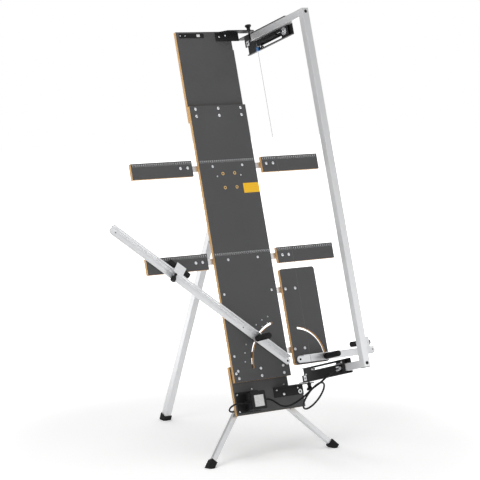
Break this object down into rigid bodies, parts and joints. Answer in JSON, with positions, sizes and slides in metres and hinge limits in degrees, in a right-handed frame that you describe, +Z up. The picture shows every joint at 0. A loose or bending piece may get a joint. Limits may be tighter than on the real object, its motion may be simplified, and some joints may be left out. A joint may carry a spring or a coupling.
{
  "type": "hot wire foam board cutter",
  "caption": "Free-standing leaning board with a swinging, sliding bow that carries a vertical hot wire, two angle fences with stops, ruled support arms and three folding legs.",
  "frame": {"origin": "on the floor under the middle of the bounding box, measured without the cords", "axes": "+X to the right seen from the front, +Y from the bow towards the rear leg, +Z up"},
  "size_m": [1.1914, 1.1788, 1.8075],
  "materials": {
    "coated_ply": "matt",
    "aluminium": "satin",
    "black_steel": "powder coat",
    "zinc_steel": "zinc plated",
    "black_plastic": "matt",
    "rubber": "matt",
    "cord_sheath": "satin",
    "heating_wire": "drawn",
    "insulator": "glazed"
  },
  "bodies": {
    "board": {"main_panel": "coated_ply", "top_panel": "coated_ply", "lower_panel": "coated_ply", "side_board": "coated_ply", "arm_upper_left": "coated_ply", "arm_upper_right": "coated_ply", "arm_lower_left": "coated_ply", "arm_lower_right": "coated_ply", "upper_arm_bar": "zinc_steel", "lower_arm_bar": "zinc_steel", "upper_side_bar": "zinc_steel", "lower_side_bar": "zinc_steel", "top_hinge_bracket": "black_steel", "bottom_hinge_bracket": "black_steel", "top_pivot_bolt": "zinc_steel", "bottom_pivot_bolt": "zinc_steel", "transformer_plate": "black_steel", "transformer_housing": "black_plastic", "mains_gland": "rubber", "lead_gland": "rubber", "cord_hook": "zinc_steel", "mains_cord": "cord_sheath", "mains_coil": "cord_sheath", "mains_tail": "cord_sheath", "mains_plug": "rubber", "low_voltage_lead": "cord_sheath", "rear_leg_bracket": "black_steel", "rear_leg_pin": "zinc_steel", "front_leg_bracket_left": "black_steel", "front_leg_bracket_right": "black_steel"},
    "rear_leg": {"rear_leg": "aluminium", "rear_foot": "rubber"},
    "front_leg_left": {"front_leg_left": "aluminium", "front_foot_left": "rubber"},
    "front_leg_right": {"front_leg_right": "aluminium", "front_foot_right": "rubber"},
    "carriage": {"upper_carriage": "black_steel", "lower_carriage": "black_steel", "lead_terminal": "black_plastic"},
    "bow": {"bow_post": "aluminium", "bow_upper_arm": "aluminium", "bow_lower_arm": "aluminium", "upper_wire_carrier": "black_steel", "lower_wire_carrier": "black_steel", "tension_spring": "black_steel", "spring_anchor": "zinc_steel", "wire_insulator": "insulator", "cutting_wire": "heating_wire"},
    "long_fence": {"long_fence": "aluminium"},
    "long_grip": {"long_fence_grip": "black_plastic"},
    "long_stop": {"long_stop_bracket": "aluminium", "long_stop_bumper": "rubber"},
    "long_stop_knob": {"long_stop_knob": "black_plastic"},
    "short_fence": {"short_fence": "aluminium"},
    "short_grip": {"short_fence_grip": "black_plastic"},
    "short_stop": {"short_stop_bracket": "aluminium", "short_stop_bumper": "rubber"},
    "short_stop_knob": {"short_stop_knob": "black_plastic"},
    "top_knob": {"top_lock_knob": "black_plastic"},
    "bottom_knob": {"bottom_lock_knob": "black_plastic"}
  },
  "joints": [
    {"name": "rear_leg_fold", "type": "hinge", "parent": "board", "child": "rear_leg", "pos_m": [0.0117, 0.1057, 1.0882], "axis": [1, 0, 0], "range_deg": [-40, 0]},
    {"name": "front_leg_left_fold", "type": "hinge", "parent": "board", "child": "front_leg_left", "pos_m": [-0.0333, -0.1289, 0.26272], "axis": [-0.0802, 0.9242, -0.3734], "range_deg": [-43, 0]},
    {"name": "front_leg_right_fold", "type": "hinge", "parent": "board", "child": "front_leg_right", "pos_m": [0.0567, -0.1289, 0.26272], "axis": [-0.0802, -0.9242, 0.3734], "range_deg": [-43, 0]},
    {"name": "bow_swing", "type": "hinge", "parent": "board", "child": "carriage", "pos_m": [0.2297, 0.01664, 0.98158], "axis": [0, 0.2924, 0.9563], "range_deg": [-45, 45], "deforming": ["low_voltage_lead"]},
    {"name": "bow_slide", "type": "slide", "parent": "carriage", "child": "bow", "axis": [0, -0.9563, 0.2924], "range_m": [0, 0.14]},
    {"name": "long_fence_turn", "type": "hinge", "parent": "board", "child": "long_fence", "pos_m": [0.1407, -0.17144, 0.36984], "axis": [0, 0.9563, -0.2924], "range_deg": [-39.5, 34.5]},
    {"name": "long_stop_slide", "type": "slide", "parent": "long_fence", "child": "long_stop", "axis": [-0.7716, 0.186, 0.6083], "range_m": [-0.35, 0.28]},
    {"name": "short_fence_turn", "type": "hinge", "parent": "board", "child": "short_fence", "pos_m": [0.2057, -0.17173, 0.36888], "axis": [0, -0.9563, 0.2924], "range_deg": [0, 50]},
    {"name": "short_stop_slide", "type": "slide", "parent": "short_fence", "child": "short_stop", "axis": [1, 0, 0], "range_m": [-0.126, 0.024]},
    {"name": "long_grip_turn", "type": "hinge", "parent": "long_fence", "child": "long_grip", "pos_m": [0.01043, -0.18346, 0.48445], "axis": [0, -0.9563, 0.2924], "continuous": true},
    {"name": "short_grip_turn", "type": "hinge", "parent": "short_fence", "child": "short_grip", "pos_m": [0.3377, -0.21506, 0.38108], "axis": [0, -0.9563, 0.2924], "continuous": true},
    {"name": "long_knob_turn", "type": "hinge", "parent": "long_stop", "child": "long_stop_knob", "pos_m": [-0.33771, -0.07, 0.75122], "axis": [0.6361, 0.2256, 0.7379], "continuous": true},
    {"name": "short_knob_turn", "type": "hinge", "parent": "short_stop", "child": "short_stop_knob", "pos_m": [0.5337, -0.1856, 0.37312], "axis": [0, 0.2924, 0.9563], "continuous": true},
    {"name": "top_knob_turn", "type": "hinge", "parent": "board", "child": "top_knob", "pos_m": [0.2297, 0.24176, 1.71794], "axis": [0, 0.2924, 0.9563], "continuous": true},
    {"name": "bottom_knob_turn", "type": "hinge", "parent": "board", "child": "bottom_knob", "pos_m": [0.2297, -0.20557, 0.25479], "axis": [0, 0.2924, 0.9563], "continuous": true}
  ]
}
